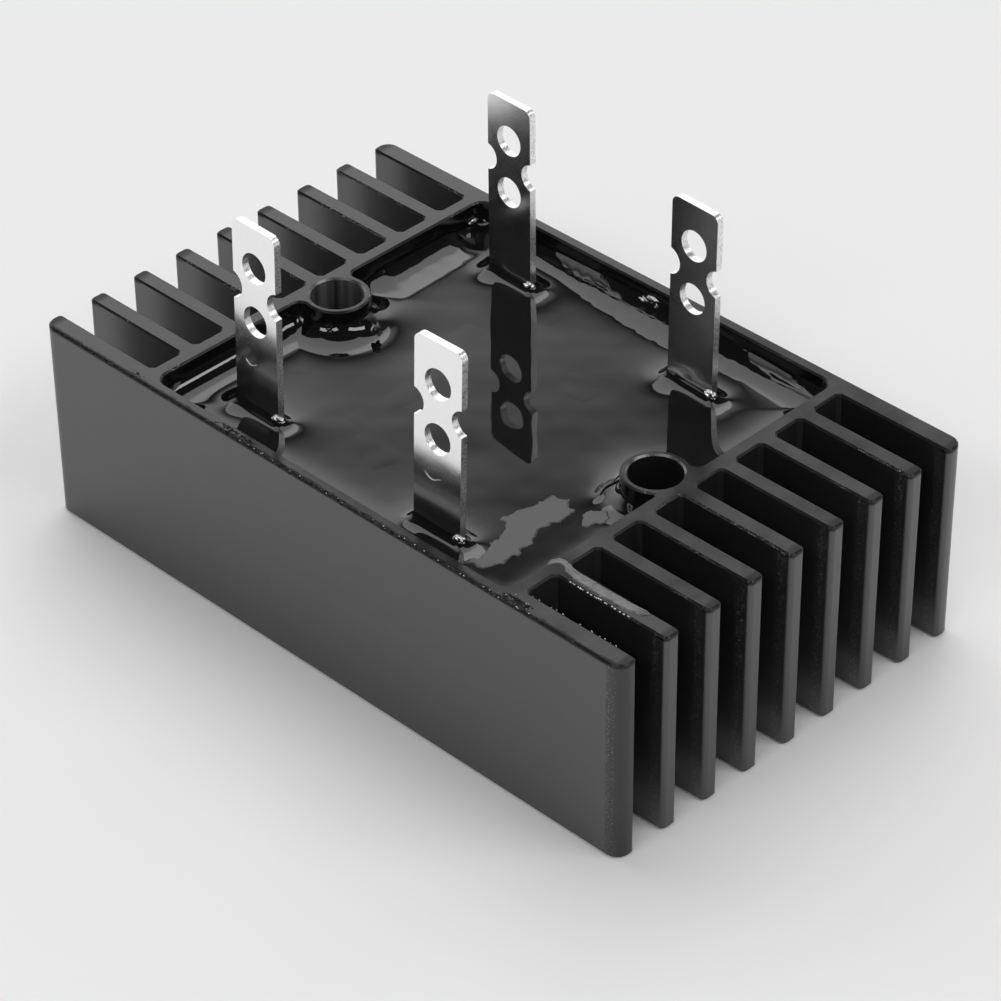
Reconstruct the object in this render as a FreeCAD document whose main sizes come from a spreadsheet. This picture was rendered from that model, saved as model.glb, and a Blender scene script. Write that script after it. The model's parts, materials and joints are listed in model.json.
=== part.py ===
import FreeCAD, Part
import os

import Sketcher
from FreeCAD import Rotation, Vector

# Single-phase bridge rectifier module in a finned, potted aluminium housing.
# Origin: centre of the flat underside. X runs along the length, Y across it, Z up.
# Lengths are in millimetres and angles in degrees.

DIMENSIONS = [
    # Housing: one extrusion with its axis along Z, sawn to height
    ("body_length", 82.2),
    ("body_width", 50.0),
    ("body_height", 23.8),
    ("side_wall", 1.4),
    ("end_web", 1.65),
    ("slot_count", 8),
    ("slot_depth", 14.4),
    ("outer_fin", 2.4),
    ("fin_thickness", 2.0),
    ("fin_tip_radius", 0.6),
    ("slot_root_bevel", 0.4),
    ("outer_corner_radius", 1.5),
    ("cavity_corner_radius", 1.5),
    ("sawn_edge_break", 0.2),
    # Screw bosses against the end webs, each round its bore; the pair stands a little off the middle
    ("boss_diameter", 7.2),
    ("boss_inset", 2.3),
    ("boss_offset", -0.3),
    ("screw_bore", 5.7),
    ("boss_blend_radius", 1.0),
    ("boss_crease_radius", 0.3),
    # Stack on the base plate, from the underside up
    ("base_thickness", 2.5),
    ("bond_thickness", 0.2),
    ("insulator_clearance", 0.4),
    ("insulator_side_gap", 1.2),
    ("insulator_thickness", 1.0),
    ("plate_inset", 0.3),
    ("plate_gap", 3.0),
    ("plate_thickness", 1.2),
    ("solder_thickness", 0.15),
    ("solder_inset", 0.2),
    ("die_size", 9.5),
    ("die_thickness", 0.4),
    ("die_spacing", 12.0),
    ("die_border", 1.0),
    ("strap_thickness", 1.0),
    ("strap_margin", 0.25),
    ("strap_border", 0.5),
    ("strap_corner_radius", 0.5),
    # Tab terminals: flat strip, bent once, with two holes and two edge notches
    ("tab_width", 6.35),
    ("tab_thickness", 0.8),
    ("tab_top", 42.7),
    ("tab_corner_radius", 0.9),
    ("tab_bend_radius", 0.8),
    ("tab_foot_length", 4.6),
    ("tab_hole", 3.5),
    ("tab_hole_drop", 4.75),
    ("tab_hole_spacing", 6.3),
    ("tab_notch_radius", 1.6),
    ("tab_notch_outset", 0.3),
    # Where each tab leaves the resin, from the cavity's nearest end and side,
    # with its turn about Z and its lean towards +Y
    ("ac_front_from_end", 8.6),
    ("ac_front_from_side", 6.05),
    ("ac_front_turn", -1.4),
    ("ac_front_lean", 1.5),
    ("plus_from_end", 10.0),
    ("plus_from_side", 5.9),
    ("plus_turn", -2.0),
    ("plus_lean", 0.05),
    ("ac_back_from_end", 12.75),
    ("ac_back_from_side", 7.5),
    ("ac_back_turn", -2.3),
    ("ac_back_lean", 0.65),
    ("minus_from_end", 14.05),
    ("minus_from_side", 4.5),
    ("minus_turn", 0.8),
    ("minus_lean", 2.05),
    # Potting resin: how far it stays below the rim, and how it climbs walls, bosses and tabs
    ("resin_drop", 3.4),
    ("meniscus_rise", 1.2),
    ("meniscus_lip", 0.1),
    ("meniscus_corner_radius", 2.2),
    ("collar_height", 0.8),
    ("collar_reach", 0.8),
]

# Places worked out from the driving dimensions
CAVITY_X = "(sizes.body_length / 2 - sizes.slot_depth - sizes.end_web)"
CAVITY_Y = "(sizes.body_width / 2 - sizes.side_wall)"
SLOT_ROOT = "(sizes.body_length / 2 - sizes.slot_depth)"
FINS_BETWEEN = "((sizes.slot_count - 1) * sizes.fin_thickness)"
SLOT_WIDTH = f"((sizes.body_width - 2 * sizes.outer_fin - {FINS_BETWEEN}) / sizes.slot_count)"
SLOT_PITCH = f"({SLOT_WIDTH} + sizes.fin_thickness)"
BOSS_X = f"({CAVITY_X} - sizes.boss_inset)"
BOSS_CENTRES = [f"(-{BOSS_X} + sizes.boss_offset)", f"({BOSS_X} + sizes.boss_offset)"]
STACK_X = "sizes.boss_offset"
RESIN_LEVEL = "(sizes.body_height - sizes.resin_drop)"
BOND_Z = "sizes.base_thickness"
INSULATOR_Z = f"({BOND_Z} + sizes.bond_thickness)"
INSULATOR_LENGTH = f"(2 * ({BOSS_X} - sizes.insulator_clearance) - sizes.boss_diameter)"
INSULATOR_WIDTH = f"(2 * ({CAVITY_Y} - sizes.insulator_side_gap))"
PLATE_Z = f"({INSULATOR_Z} + sizes.insulator_thickness)"
PLATE_LENGTH = f"({INSULATOR_LENGTH} - 2 * sizes.plate_inset)"
PLATE_WIDTH = f"({INSULATOR_WIDTH} / 2 - sizes.plate_inset - sizes.plate_gap / 2)"
PLATE_Y = f"(sizes.plate_gap / 2 + {PLATE_WIDTH} / 2)"
PLATE_TOP = f"({PLATE_Z} + sizes.plate_thickness)"
DIE_X = "(sizes.die_spacing / 2)"
DIE_Y = "(sizes.plate_gap / 2 + sizes.die_border + sizes.die_size / 2)"
DIE_Z = f"({PLATE_TOP} + sizes.solder_thickness)"
DIE_TOP = f"({DIE_Z} + sizes.die_thickness)"
STRAP_Z = f"({DIE_TOP} + sizes.solder_thickness)"
STRAP_TOP = f"({STRAP_Z} + sizes.strap_thickness)"
STRAP_HALF = "(sizes.die_size / 2 - sizes.strap_margin)"

# Which end and side of the cavity each tab stands near
TAB_SIDES = {"ac_front": ("-", "-"), "plus": ("-", ""), "ac_back": ("", ""), "minus": ("", "-")}

doc = FreeCAD.newDocument("bridge_rectifier")


def make_sheet():
    """Write the driving dimensions into a spreadsheet, one aliased cell each."""
    sheet = doc.addObject("Spreadsheet::Sheet", "sizes")
    for row, (alias, value) in enumerate(DIMENSIONS, start=1):
        sheet.set(f"A{row}", alias)
        sheet.set(f"B{row}", str(value))
        sheet.setAlias(f"B{row}", alias)
    doc.recompute()
    return sheet


sizes = make_sheet()


def number(expression):
    """The present value of an expression, for the first guess of a sketch."""
    value = sizes.evalExpression(expression.replace("sizes.", ""))
    return float(getattr(value, "Value", value))


def bind(item, **expressions):
    """Bind properties to expressions; a double underscore stands for a dot."""
    for name, expression in expressions.items():
        item.setExpression(name.replace("__", "."), expression)


# Sketches

def make_body(label):
    body = doc.addObject("PartDesign::Body", label)
    body.Label = label
    return body


def make_sketch(body, name, plane="XY_Plane", height=None):
    """A sketch on one of the body's own origin planes, raised by an expression."""
    sketch = body.newObject("Sketcher::SketchObject", name)
    origin_plane = [item for item in body.Origin.OriginFeatures if item.Role == plane][0]
    sketch.AttachmentSupport = (origin_plane, [""])
    sketch.MapMode = "FlatFace"
    if height:
        bind(sketch, AttachmentOffset__Base__z=height)
    return sketch


def fix_point(sketch, geometry, point, x=None, y=None):
    """Dimension a point from the sketch origin, or hold it on an axis at zero."""
    upright_axis, level_axis = -2, -1
    for kind, expression, axis in (("DistanceX", x, upright_axis), ("DistanceY", y, level_axis)):
        if expression == "0":
            sketch.addConstraint(Sketcher.Constraint("PointOnObject", geometry, point, axis))
        elif expression is not None:
            constraint = Sketcher.Constraint(kind, -1, 1, geometry, point, number(expression))
            index = sketch.addConstraint(constraint)
            sketch.setExpression(f"Constraints[{index}]", expression)


def draw_outline(sketch, corners):
    """A closed outline of straight lines, each corner given as two expressions.

    A side is held level or upright where its two ends share an expression.
    """
    points = [Vector(number(x), number(y), 0) for x, y in corners]
    count = len(corners)
    first = sketch.GeometryCount
    for i in range(count):
        sketch.addGeometry(Part.LineSegment(points[i], points[(i + 1) % count]))
    for i in range(count):
        line, after = first + i, first + (i + 1) % count
        sketch.addConstraint(Sketcher.Constraint("Coincident", line, 2, after, 1))
    for i, (x, y) in enumerate(corners):
        before_x, before_y = corners[i - 1]
        fix_point(sketch, first + i, 1, x=None if x == before_x and i else x)
        fix_point(sketch, first + i, 1, y=None if y == before_y and i else y)
        if i and x == before_x:
            sketch.addConstraint(Sketcher.Constraint("Vertical", first + i - 1))
        if i and y == before_y:
            sketch.addConstraint(Sketcher.Constraint("Horizontal", first + i - 1))


def draw_rectangle(sketch, left, right, bottom, top):
    draw_outline(sketch, [(left, bottom), (right, bottom), (right, top), (left, top)])


def draw_circle(sketch, x, y, diameter):
    centre = Vector(number(x), number(y), 0)
    radius = number(diameter) / 2
    circle = sketch.addGeometry(Part.Circle(centre, Vector(0, 0, 1), radius))
    fix_point(sketch, circle, 3, x=x, y=y)
    index = sketch.addConstraint(Sketcher.Constraint("Diameter", circle, 2 * radius))
    sketch.setExpression(f"Constraints[{index}]", diameter)


# Features

def make_pad(body, sketch, length, symmetric=False):
    pad = body.newObject("PartDesign::Pad", "Pad")
    pad.Profile = sketch
    if symmetric:
        pad.SideType = "Symmetric"
    bind(pad, Length=length)
    doc.recompute()
    return pad


def make_pocket(body, sketch):
    """Cut a sketch through all of the body, both ways from its plane."""
    before = body.Shape.Volume
    pocket = body.newObject("PartDesign::Pocket", "Pocket")
    pocket.Profile = sketch
    pocket.SideType = "Symmetric"
    pocket.Type = "ThroughAll"
    doc.recompute()
    if not pocket.Shape.Volume < before:
        raise ValueError(f"{body.Label}: {sketch.Name} cuts nothing")
    return pocket


def dress_edges(body, kind, chosen, **size):
    """Add a fillet or a chamfer along the edges for which chosen(edge) holds."""
    tip = body.Tip
    names = [f"Edge{i}" for i, edge in enumerate(tip.Shape.Edges, start=1) if chosen(edge)]
    dressing = body.newObject(f"PartDesign::{kind}", kind)
    dressing.Base = (tip, names)
    bind(dressing, **size)
    doc.recompute()


def make_fillet(body, radius, chosen):
    dress_edges(body, "Fillet", chosen, Radius=radius)


def make_chamfer(body, size, chosen):
    dress_edges(body, "Chamfer", chosen, Size=size)


def upright(edge):
    """A straight edge along Z."""
    ends = [vertex.Point for vertex in edge.Vertexes]
    return len(ends) == 2 and (ends[0] - ends[1]).cross(Vector(0, 0, 1)).Length < 1e-6


def near(a, b):
    return abs(a - b) < 1e-4


def make_box(label, size, centre, bottom):
    """A block centred over a point, its underside at an expression."""
    box = doc.addObject("Part::Box", label)
    box.Label = label
    bind(box, Length=size[0], Width=size[1], Height=size[2])
    bind(box, Placement__Base__x=f"{centre[0]} - {size[0]} / 2",
         Placement__Base__y=f"{centre[1]} - {size[1]} / 2",
         Placement__Base__z=bottom)
    return box


# The finned housing

def cavity_body(label, bottom, height, lip="0", corner="sizes.cavity_corner_radius",
                blend="sizes.boss_blend_radius", crease="sizes.boss_crease_radius"):
    """A solid with the plan of the housing's cavity, drawn in by a lip.

    The plan is a rounded rectangle less the two screw bosses. Where a boss joins
    its web the plan has a rounded point; the one at +X, -Y is nearly sharp.
    """
    half_x, half_y = f"({CAVITY_X} - {lip})", f"({CAVITY_Y} - {lip})"
    body = make_body(label)
    plan = make_sketch(body, "plan", height=bottom)
    draw_rectangle(plan, f"-{half_x}", half_x, f"-{half_y}", half_y)
    make_pad(body, plan, height)
    x, y = number(half_x), number(half_y)
    make_fillet(body, corner, lambda e: upright(e) and near(abs(e.Vertexes[0].Y), y))
    bosses = make_sketch(body, "bosses")
    for centre in BOSS_CENTRES:
        draw_circle(bosses, centre, "0", f"(sizes.boss_diameter + 2 * {lip})")
    make_pocket(body, bosses)
    reach = number("sizes.boss_diameter")

    def at_web(edge):
        point = edge.Vertexes[0]
        return upright(edge) and near(abs(point.X), x) and abs(point.Y) < reach

    def creased(edge):
        return edge.Vertexes[0].X > 0 and edge.Vertexes[0].Y < 0

    make_fillet(body, blend, lambda e: at_web(e) and not creased(e))
    make_fillet(body, crease, lambda e: at_web(e) and creased(e))
    return body


def make_housing():
    """The extrusion: a block less its fin slots, its cavity and its screw bores."""
    body = make_body("finned_housing")
    block = make_sketch(body, "block")
    half_x, half_y = "(sizes.body_length / 2)", "(sizes.body_width / 2)"
    draw_rectangle(block, f"-{half_x}", half_x, f"-{half_y}", half_y)
    make_pad(body, block, "sizes.body_height")

    slots = make_sketch(body, "first_slots")
    centre = f"(-{SLOT_PITCH} * (sizes.slot_count - 1) / 2)"
    low, high = f"({centre} - {SLOT_WIDTH} / 2)", f"({centre} + {SLOT_WIDTH} / 2)"
    mouth = "(sizes.body_length / 2 + sizes.end_web)"
    draw_rectangle(slots, SLOT_ROOT, mouth, low, high)
    draw_rectangle(slots, f"-{mouth}", f"-{SLOT_ROOT}", low, high)
    pocket = make_pocket(body, slots)

    row = body.newObject("PartDesign::LinearPattern", "slot_row")
    row.Originals = [pocket]
    row.Direction = ([item for item in body.Origin.OriginFeatures if item.Role == "Y_Axis"][0], [""])
    bind(row, Length=f"{SLOT_PITCH} * (sizes.slot_count - 1)", Occurrences="sizes.slot_count")
    body.Tip = row
    doc.recompute()

    end, root = number(half_x), number(SLOT_ROOT)
    side = number(half_y)

    def at(edge, x):
        return upright(edge) and near(abs(edge.Vertexes[0].X), x)

    def outermost(edge):
        return near(abs(edge.Vertexes[0].Y), side)

    make_fillet(body, "sizes.outer_corner_radius", lambda e: at(e, end) and outermost(e))
    make_fillet(body, "sizes.fin_tip_radius", lambda e: at(e, end))
    make_chamfer(body, "sizes.slot_root_bevel", lambda e: at(e, root))

    bores = make_sketch(body, "screw_bores")
    for centre in BOSS_CENTRES:
        draw_circle(bores, centre, "0", "sizes.screw_bore")
    make_pocket(body, bores)

    cavity = cavity_body("cavity_space", "-sizes.side_wall", "(sizes.body_height + 2 * sizes.side_wall)")
    opening = body.newObject("PartDesign::Boolean", "cavity_cut")
    opening.setObjects([cavity])
    opening.Type = "Cut"
    body.Tip = opening
    doc.recompute()

    faces = enumerate(opening.Shape.Faces, start=1)
    top = number("sizes.body_height")
    sawn = [f"Face{i}" for i, face in faces
            if near(face.BoundBox.ZLength, 0) and (near(face.BoundBox.ZMin, 0) or near(face.BoundBox.ZMin, top))]
    edge_break = body.newObject("PartDesign::Chamfer", "sawn_edges")
    edge_break.Base = (opening, sawn)
    bind(edge_break, Size="sizes.sawn_edge_break")
    doc.recompute()
    return body


# The stack inside

def make_stack():
    """Base plate, bond, ceramic, copper plates, dies and their solder, and the straps."""
    base_plate = cavity_body("base_plate", "0", "sizes.base_thickness")
    sheet_plan = (INSULATOR_LENGTH, INSULATOR_WIDTH)
    bond = make_box("bond_layer", sheet_plan + ("sizes.bond_thickness",), (STACK_X, "0"), BOND_Z)
    insulator = make_box("ceramic_insulator", sheet_plan + ("sizes.insulator_thickness",),
                         (STACK_X, "0"), INSULATOR_Z)
    stack = [base_plate, bond, insulator]
    plate = (PLATE_LENGTH, PLATE_WIDTH, "sizes.plate_thickness")
    die = ("sizes.die_size", "sizes.die_size", "sizes.die_thickness")
    solder_side = "(sizes.die_size - 2 * sizes.solder_inset)"
    solder = (solder_side, solder_side, "sizes.solder_thickness")
    for pole, y_sign in (("plus", ""), ("minus", "-")):
        stack.append(make_box(f"{pole}_plate", plate, (STACK_X, f"{y_sign}{PLATE_Y}"), PLATE_Z))
        for side, x_sign in (("left", "-"), ("right", "")):
            centre = (f"{x_sign}{DIE_X}", f"{y_sign}{DIE_Y}")
            name = f"{pole}_{side}"
            stack.append(make_box(f"solder_under_{name}", solder, centre, PLATE_TOP))
            stack.append(make_box(f"diode_{name}", die, centre, DIE_Z))
            stack.append(make_box(f"solder_over_{name}", solder, centre, DIE_TOP))
    stack.append(make_strap("ac_strap_right", "ac_back", 0))
    stack.append(make_strap("ac_strap_left", "ac_front", 180))
    return stack


def from_middle(tab):
    """How far a tab stands from the middle of the module, along X and along Y."""
    return f"({CAVITY_X} - sizes.{tab}_from_end)", f"({CAVITY_Y} - sizes.{tab}_from_side)"


def make_strap(label, tab, turn):
    """An L-shaped copper strap: a bar over two dies, and an arm out to its tab.

    It is drawn with the arm towards +X and +Y, then turned about Z.
    """
    tab_x, tab_y = from_middle(tab)
    inner, outer = f"({DIE_X} - {STRAP_HALF})", f"({DIE_X} + {STRAP_HALF})"
    end = f"(-{DIE_Y} - {STRAP_HALF})"
    reach = f"({tab_x} + sizes.tab_width / 2 + sizes.strap_border)"
    arm_low = f"({tab_y} - sizes.tab_foot_length)"
    arm_high = f"({tab_y} + sizes.tab_thickness + sizes.strap_border)"
    body = make_body(label)
    plan = make_sketch(body, "plan")
    draw_outline(plan, [(inner, end), (outer, end), (outer, arm_low),
                        (reach, arm_low), (reach, arm_high), (inner, arm_high)])
    make_pad(body, plan, "sizes.strap_thickness")
    make_fillet(body, "sizes.strap_corner_radius", upright)
    body.Placement.Rotation = Rotation(Vector(0, 0, 1), turn)
    bind(body, Placement__Base__z=STRAP_Z)
    return body


# The tab terminals

def seat_body(body, tab, seat, outset, bottom):
    """Place a body at its tab's foot: the tab's place in the resin, less its lean."""
    (x_sign, y_sign), (x, y) = TAB_SIDES[tab], from_middle(tab)
    body.Placement.Rotation = Rotation(Vector(0, 0, 1), 1)
    bind(body, Placement__Rotation__Angle=f"sizes.{tab}_turn * 1 deg",
         Placement__Base__x=f"{x_sign}{x}",
         Placement__Base__y=f"{y_sign}{y} + {outset} - ({RESIN_LEVEL} - {seat}) * tan(sizes.{tab}_lean)",
         Placement__Base__z=bottom)


def make_terminal(tab, foot_sign, outset, joint):
    """A tab with its foot and the solder under it, and the resin's collar round it.

    In the body's frame the outer face of the bend is at Y zero and the underside of
    the foot at Z zero. The foot points towards the middle of the module.
    """
    seat = f"({joint} + sizes.solder_thickness)"
    height = f"(sizes.tab_top - {seat})"
    slope = f"tan(sizes.{tab}_lean)"
    thick = "sizes.tab_thickness"
    foot = f"({foot_sign}sizes.tab_foot_length)"
    top_outer, top_inner = f"({height} * {slope})", f"({height} * {slope} {foot_sign or '+'} {thick})"
    bend_inner = f"({thick} * {slope} {foot_sign or '+'} {thick})"
    body = make_body(f"terminal_{tab}")
    fold = make_sketch(body, "fold", plane="YZ_Plane")
    draw_outline(fold, [("0", "0"), (foot, "0"), (foot, thick), (bend_inner, thick),
                        (top_inner, height), (top_outer, height)])
    make_pad(body, fold, "sizes.tab_width", symmetric=True)

    def across_at(edge, y, z):
        return all(near(vertex.Y, y) and near(vertex.Z, z) for vertex in edge.Vertexes)

    inner_y, inner_z = number(bend_inner), number(thick)
    make_fillet(body, "sizes.tab_bend_radius", lambda e: across_at(e, inner_y, inner_z))
    make_fillet(body, f"sizes.tab_bend_radius + {thick}", lambda e: across_at(e, 0, 0))

    holes = make_sketch(body, "holes_and_notches", plane="XZ_Plane")
    upper = f"({height} - sizes.tab_hole_drop)"
    middle = f"({upper} - sizes.tab_hole_spacing / 2)"
    lower = f"({upper} - sizes.tab_hole_spacing)"
    notch_x = "(sizes.tab_width / 2 + sizes.tab_notch_outset)"
    notch = "(2 * sizes.tab_notch_radius)"
    draw_circle(holes, "0", upper, "sizes.tab_hole")
    draw_circle(holes, "0", lower, "sizes.tab_hole")
    draw_circle(holes, f"-{notch_x}", middle, notch)
    draw_circle(holes, notch_x, middle, notch)
    make_pocket(body, holes)

    top = number(height)

    def top_corner(edge):
        ends = edge.Vertexes
        return all(near(end.Z, top) for end in ends) and near(ends[0].X, ends[-1].X)

    make_fillet(body, "sizes.tab_corner_radius", top_corner)
    seat_body(body, tab, seat, outset, seat)

    solder = make_body(f"solder_terminal_{tab}")
    pool = make_sketch(solder, "pool")
    half = "(sizes.tab_width / 2 - sizes.solder_inset)"
    heel = f"({foot_sign}(sizes.tab_bend_radius + {thick}))"
    toe = f"({foot_sign}(sizes.tab_foot_length - sizes.solder_inset))"
    draw_rectangle(pool, f"-{half}", half, heel, toe)
    make_pad(solder, pool, "sizes.solder_thickness")
    seat_body(solder, tab, seat, outset, joint)

    collar = make_body(f"collar_{tab}")
    rise = f"({RESIN_LEVEL} - {seat})"
    centre = f"({rise} * {slope} {foot_sign or '+'} {thick} / 2)"
    rings = []
    for name, spread, level in (("foot_ring", "sizes.collar_reach", rise),
                                ("top_ring", "sizes.meniscus_lip", f"({rise} + sizes.collar_height)")):
        ring = make_sketch(collar, name, height=level)
        wide, deep = f"(sizes.tab_width / 2 + {spread})", f"({thick} / 2 + {spread})"
        draw_rectangle(ring, f"-{wide}", wide, f"({centre} - {deep})", f"({centre} + {deep})")
        rings.append(ring)
    loft = collar.newObject("PartDesign::AdditiveLoft", "collar")
    loft.Profile, loft.Sections = rings[0], rings[1:]
    doc.recompute()
    seat_body(collar, tab, seat, outset, seat)
    return body, solder, collar


# The potting resin

def make_resin(held, collars):
    """The cast resin: the cavity above the base plate, less all that it holds.

    Its surface slopes up to the walls and bosses, and to each tab in a collar.
    """
    brim = f"({RESIN_LEVEL} + sizes.meniscus_rise)"
    fill = cavity_body("resin_fill", "sizes.base_thickness", f"{brim} - sizes.base_thickness")
    air = cavity_body("air_space", RESIN_LEVEL, "(2 * sizes.meniscus_rise)",
                      lip="sizes.meniscus_lip", corner="sizes.meniscus_corner_radius",
                      blend="sizes.meniscus_corner_radius", crease="sizes.meniscus_corner_radius")
    level = number(RESIN_LEVEL)
    make_chamfer(air, "sizes.meniscus_rise",
                 lambda e: near(e.BoundBox.ZLength, 0) and near(e.BoundBox.ZMin, level))
    bowl = doc.addObject("Part::Cut", "resin_bowl")
    bowl.Base, bowl.Tool = fill, air
    cast = doc.addObject("Part::MultiFuse", "resin_cast")
    cast.Shapes = [bowl] + collars
    inside = doc.addObject("Part::MultiFuse", "held_pieces")
    inside.Shapes = held
    resin = doc.addObject("Part::Cut", "potting_resin")
    resin.Base, resin.Tool = cast, inside
    resin.Label = "potting_resin"
    return resin


def export(nodes):
    """Check every object, then write one STEP file for each node."""
    for item in doc.Objects:
        if "Invalid" in item.State or "Error" in item.State:
            raise ValueError(f"{item.Name}: {item.State}")
    for node in nodes:
        if node.Shape.isNull() or not node.Shape.isValid() or not node.Shape.Solids:
            raise ValueError(f"{node.Label}: bad shape")
    os.makedirs("parts", exist_ok=True)
    for node in nodes:
        node.Shape.exportStep(f"parts/{node.Label}.step")


housing = make_housing()
stack = make_stack()
terminals = [
    make_terminal("ac_front", "", "0", STRAP_TOP),
    make_terminal("plus", "-", "sizes.tab_thickness", PLATE_TOP),
    make_terminal("ac_back", "-", "sizes.tab_thickness", STRAP_TOP),
    make_terminal("minus", "", "0", PLATE_TOP),
]
tabs, solders, collars = (list(group) for group in zip(*terminals))
held = stack[1:] + tabs + solders
resin = make_resin(held, collars)
doc.recompute()
export([housing, stack[0], resin] + held)
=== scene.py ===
import json
import math

import bmesh
import bpy
import numpy as np
from mathutils import Matrix, Vector
from mathutils.bvhtree import BVHTree
from mathutils.geometry import delaunay_2d_cdt


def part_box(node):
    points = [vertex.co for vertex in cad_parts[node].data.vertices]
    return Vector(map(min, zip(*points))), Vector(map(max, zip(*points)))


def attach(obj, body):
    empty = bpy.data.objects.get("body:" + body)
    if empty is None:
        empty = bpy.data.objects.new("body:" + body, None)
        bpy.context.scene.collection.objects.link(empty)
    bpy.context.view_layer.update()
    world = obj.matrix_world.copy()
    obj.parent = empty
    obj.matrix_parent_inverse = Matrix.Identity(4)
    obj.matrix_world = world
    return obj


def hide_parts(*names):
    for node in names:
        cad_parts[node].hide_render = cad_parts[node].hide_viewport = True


# Bridge rectifier: a finned black housing filled with glossy resin, with four tinned tabs.
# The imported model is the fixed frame. Lengths are in millimetres and become metres at MM. The
# lamps and the floor are given in metres, and the scale of a noise is per metre.

MM = 0.001

# Points nearer than this are one, in metres
WELD = 1e-7

# Past every value that a mask reads, in metres as well as in a normal's share
FAR = 10.0

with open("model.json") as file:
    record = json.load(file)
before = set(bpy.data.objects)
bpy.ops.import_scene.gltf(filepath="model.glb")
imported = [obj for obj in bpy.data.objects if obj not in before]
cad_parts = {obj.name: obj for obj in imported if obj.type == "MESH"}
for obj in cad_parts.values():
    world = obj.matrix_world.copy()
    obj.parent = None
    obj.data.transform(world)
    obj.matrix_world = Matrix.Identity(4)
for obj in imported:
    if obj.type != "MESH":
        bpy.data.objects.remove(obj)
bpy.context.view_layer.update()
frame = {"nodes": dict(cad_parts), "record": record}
nodes = frame["nodes"]

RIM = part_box("finned_housing")[1].z / MM
HALF_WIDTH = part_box("finned_housing")[1].y / MM
RESIN_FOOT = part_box("potting_resin")[0].z / MM
RESIN_LEVEL = RIM - 3.4
OUTLINE_HEIGHT = RESIN_FOOT + 6.0
CAVITY_END = 25.05
CAVITY_SIDE = 23.6
BORE_X, BORE_SHIFT, BORE_RADIUS = 22.75, -0.3, 2.85
TABS = ("terminal_ac_front", "terminal_plus", "terminal_ac_back", "terminal_minus")


# Camera, light and floor

SOFTBOX_AIM = (0.0, 0.0, 0.02)

# Name, place, width, height and power in watts
SOFTBOXES = [
    ("softbox_over", (-0.30, 0.215, 0.82), 0.80, 0.74, 3.6),
    ("softbox_left", (0.25, -0.87, 0.85), 1.00, 0.24, 5.0),
    ("softbox_right", (0.82, 0.28, 0.85), 0.90, 0.24, 4.8),
]

FLOOR_HALF = 3.0
FLOOR_DROP = 0.00005


def place_camera():
    """A long lens above the front right corner, as the fitted view gives it."""
    turn, rise, roll = 0.78395, 0.64082, -0.01029
    back = Vector((math.sin(turn) * math.cos(rise), -math.cos(turn) * math.cos(rise), math.sin(rise)))
    level = Vector((math.cos(turn), math.sin(turn), 0.0))
    upright = back.cross(level)
    right = math.cos(roll) * level + math.sin(roll) * upright
    up = math.cos(roll) * upright - math.sin(roll) * level
    across, above, away = 0.5125, 6.9013, 418.791
    place = (across * right + above * up + away * back) * MM
    focal_pixels, picture_pixels = 3981.755, 1001.0
    data = bpy.data.cameras.new("camera")
    data.sensor_width = 36.0
    data.lens = data.sensor_width * focal_pixels / picture_pixels
    data.clip_start, data.clip_end = 0.02, 20.0
    camera = bpy.data.objects.new("camera", data)
    camera.matrix_world = Matrix.Translation(place) @ Matrix((right, up, back)).transposed().to_4x4()
    bpy.context.scene.collection.objects.link(camera)
    bpy.context.scene.camera = camera


def add_softbox(name, place, width, height, power):
    """A rectangular lamp that looks at the middle of the housing."""
    data = bpy.data.lights.new(name, "AREA")
    data.shape = "RECTANGLE"
    data.size, data.size_y = width, height
    data.energy = power
    lamp = bpy.data.objects.new(name, data)
    lamp.location = place
    lamp.rotation_mode = "QUATERNION"
    lamp.rotation_quaternion = (Vector(SOFTBOX_AIM) - Vector(place)).to_track_quat("-Z", "Y")
    bpy.context.scene.collection.objects.link(lamp)


def light_world():
    """A dim room: a backdrop that fades upward, a low pale band and a glow beside the softbox."""
    world = bpy.data.worlds.new("studio")
    world.use_nodes = True
    tree = world.node_tree
    direction = tree.nodes.new("ShaderNodeTexCoord").outputs["Generated"]

    def glow(toward, start, end, low, high):
        """Strength that changes smoothly while the share along a vector passes from start to end."""
        share = tree.nodes.new("ShaderNodeVectorMath")
        share.operation = "DOT_PRODUCT"
        share.inputs[1].default_value = toward
        tree.links.new(direction, share.inputs[0])
        rise = tree.nodes.new("ShaderNodeMapRange")
        rise.interpolation_type = "SMOOTHSTEP"
        limits = {"From Min": start, "From Max": end, "To Min": low, "To Max": high}
        for name, value in limits.items():
            rise.inputs[name].default_value = value
        tree.links.new(share.outputs["Value"], rise.inputs["Value"])
        return rise.outputs["Result"]

    def joined(operation, first, second):
        """One strength made from two."""
        node = tree.nodes.new("ShaderNodeMath")
        node.operation = operation
        tree.links.new(first, node.inputs[0])
        tree.links.new(second, node.inputs[1])
        return node.outputs["Value"]

    backdrop = joined("MULTIPLY", glow((0.18, 0.18, 1.0), 0.650, 0.505, 0.10, 1.5),
                      glow((-0.707, 0.707, 0.0), 0.10, 0.55, 0.0, 1.0))
    band = glow((0.0, 0.0, 1.0), 0.32, 0.16, 0.06, 0.9)
    beside = glow((-0.408, 0.562, 0.719), 0.9848, 0.9986, 0.0, 1.3)
    strength = joined("MAXIMUM", joined("MAXIMUM", backdrop, band), beside)
    background = tree.nodes["Background"]
    background.inputs["Color"].default_value = (1.0, 1.0, 1.0, 1.0)
    tree.links.new(strength, background.inputs["Strength"])
    bpy.context.scene.world = world


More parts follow.
